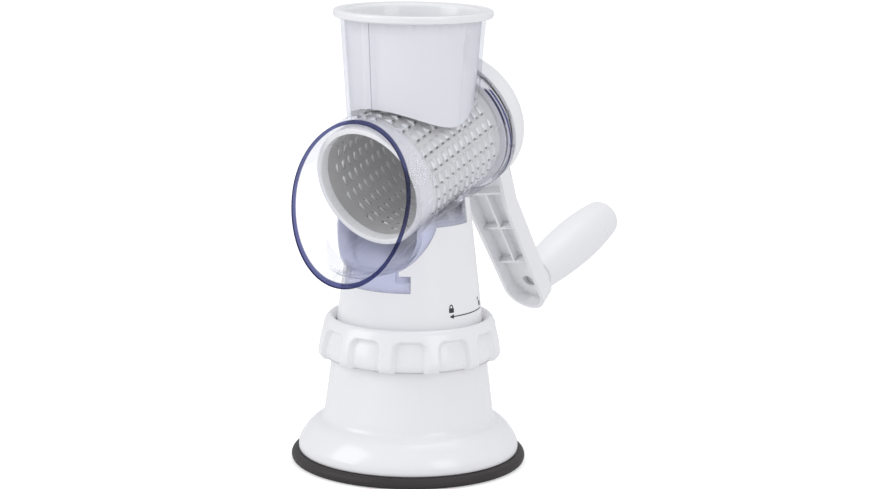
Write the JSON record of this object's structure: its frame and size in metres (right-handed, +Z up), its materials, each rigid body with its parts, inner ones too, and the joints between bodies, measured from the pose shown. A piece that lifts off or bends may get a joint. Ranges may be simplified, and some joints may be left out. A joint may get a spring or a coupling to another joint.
{
  "type": "rotary drum grater",
  "caption": "Hand cranked drum grater: toothed steel drum in a clear tilted barrel with hopper and pusher, on a white column with a suction base, a turning lock ring and a crank at the back",
  "frame": {"origin": "centre of the suction pad's underside, on the table", "axes": "+Z up; the outlet and the drum's open end face -Y, the crank is at +Y, +X is to the right seen from the outlet's side looking towards +Y"},
  "size_m": [0.126, 0.2894, 0.2427],
  "materials": {
    "white_abs": "gloss",
    "clear_plastic": "clear gloss",
    "stainless": "satin",
    "steel": "satin",
    "bush_plastic": "matte",
    "rubber": "matte"
  },
  "bodies": {
    "base": {"suction_pad": "rubber", "base_shell": "white_abs", "column": "white_abs", "column_screws": "steel", "clear_housing": "clear_plastic", "bearing_plate": "white_abs", "shaft_bush": "bush_plastic"},
    "lock_ring": {"lock_ring": "white_abs"},
    "lift": {"lift_stud": "steel", "lift_pin": "steel", "stud_washer": "steel"},
    "crank": {"crank": "white_abs", "drive_shaft": "steel", "hub_screw": "steel", "hub_cap": "white_abs", "drum_sleeve": "stainless", "drum_front_ring": "white_abs", "drum_rear_hub": "white_abs", "grip_spindle": "steel"},
    "grip": {"grip": "white_abs", "grip_plug": "white_abs"},
    "pusher": {"pusher": "white_abs"}
  },
  "joints": [
    {"name": "lock_ring_turn", "type": "hinge", "parent": "base", "child": "lock_ring", "pos_m": [0, 0, 0.0612], "axis": [0, 0, -1], "range_deg": [0, 47]},
    {"name": "stud_lift", "type": "slide", "parent": "base", "child": "lift", "axis": [0, 0, 1], "range_m": [0, 0.003]},
    {"name": "crank_spin", "type": "hinge", "parent": "base", "child": "crank", "pos_m": [0, 0, 0.1654], "axis": [0, -0.9483, -0.3173], "continuous": true},
    {"name": "grip_spin", "type": "hinge", "parent": "crank", "child": "grip", "pos_m": [-0.01901, 0.14883, 0.07355], "axis": [0, -0.9483, -0.3173], "continuous": true},
    {"name": "pusher_slide", "type": "slide", "parent": "base", "child": "pusher", "axis": [0, 0, 1], "range_m": [0, 0.06]}
  ],
  "couplings": [
    {"joint": "stud_lift", "follows": "lock_ring_turn", "m_per_rad": 0.0036572}
  ]
}
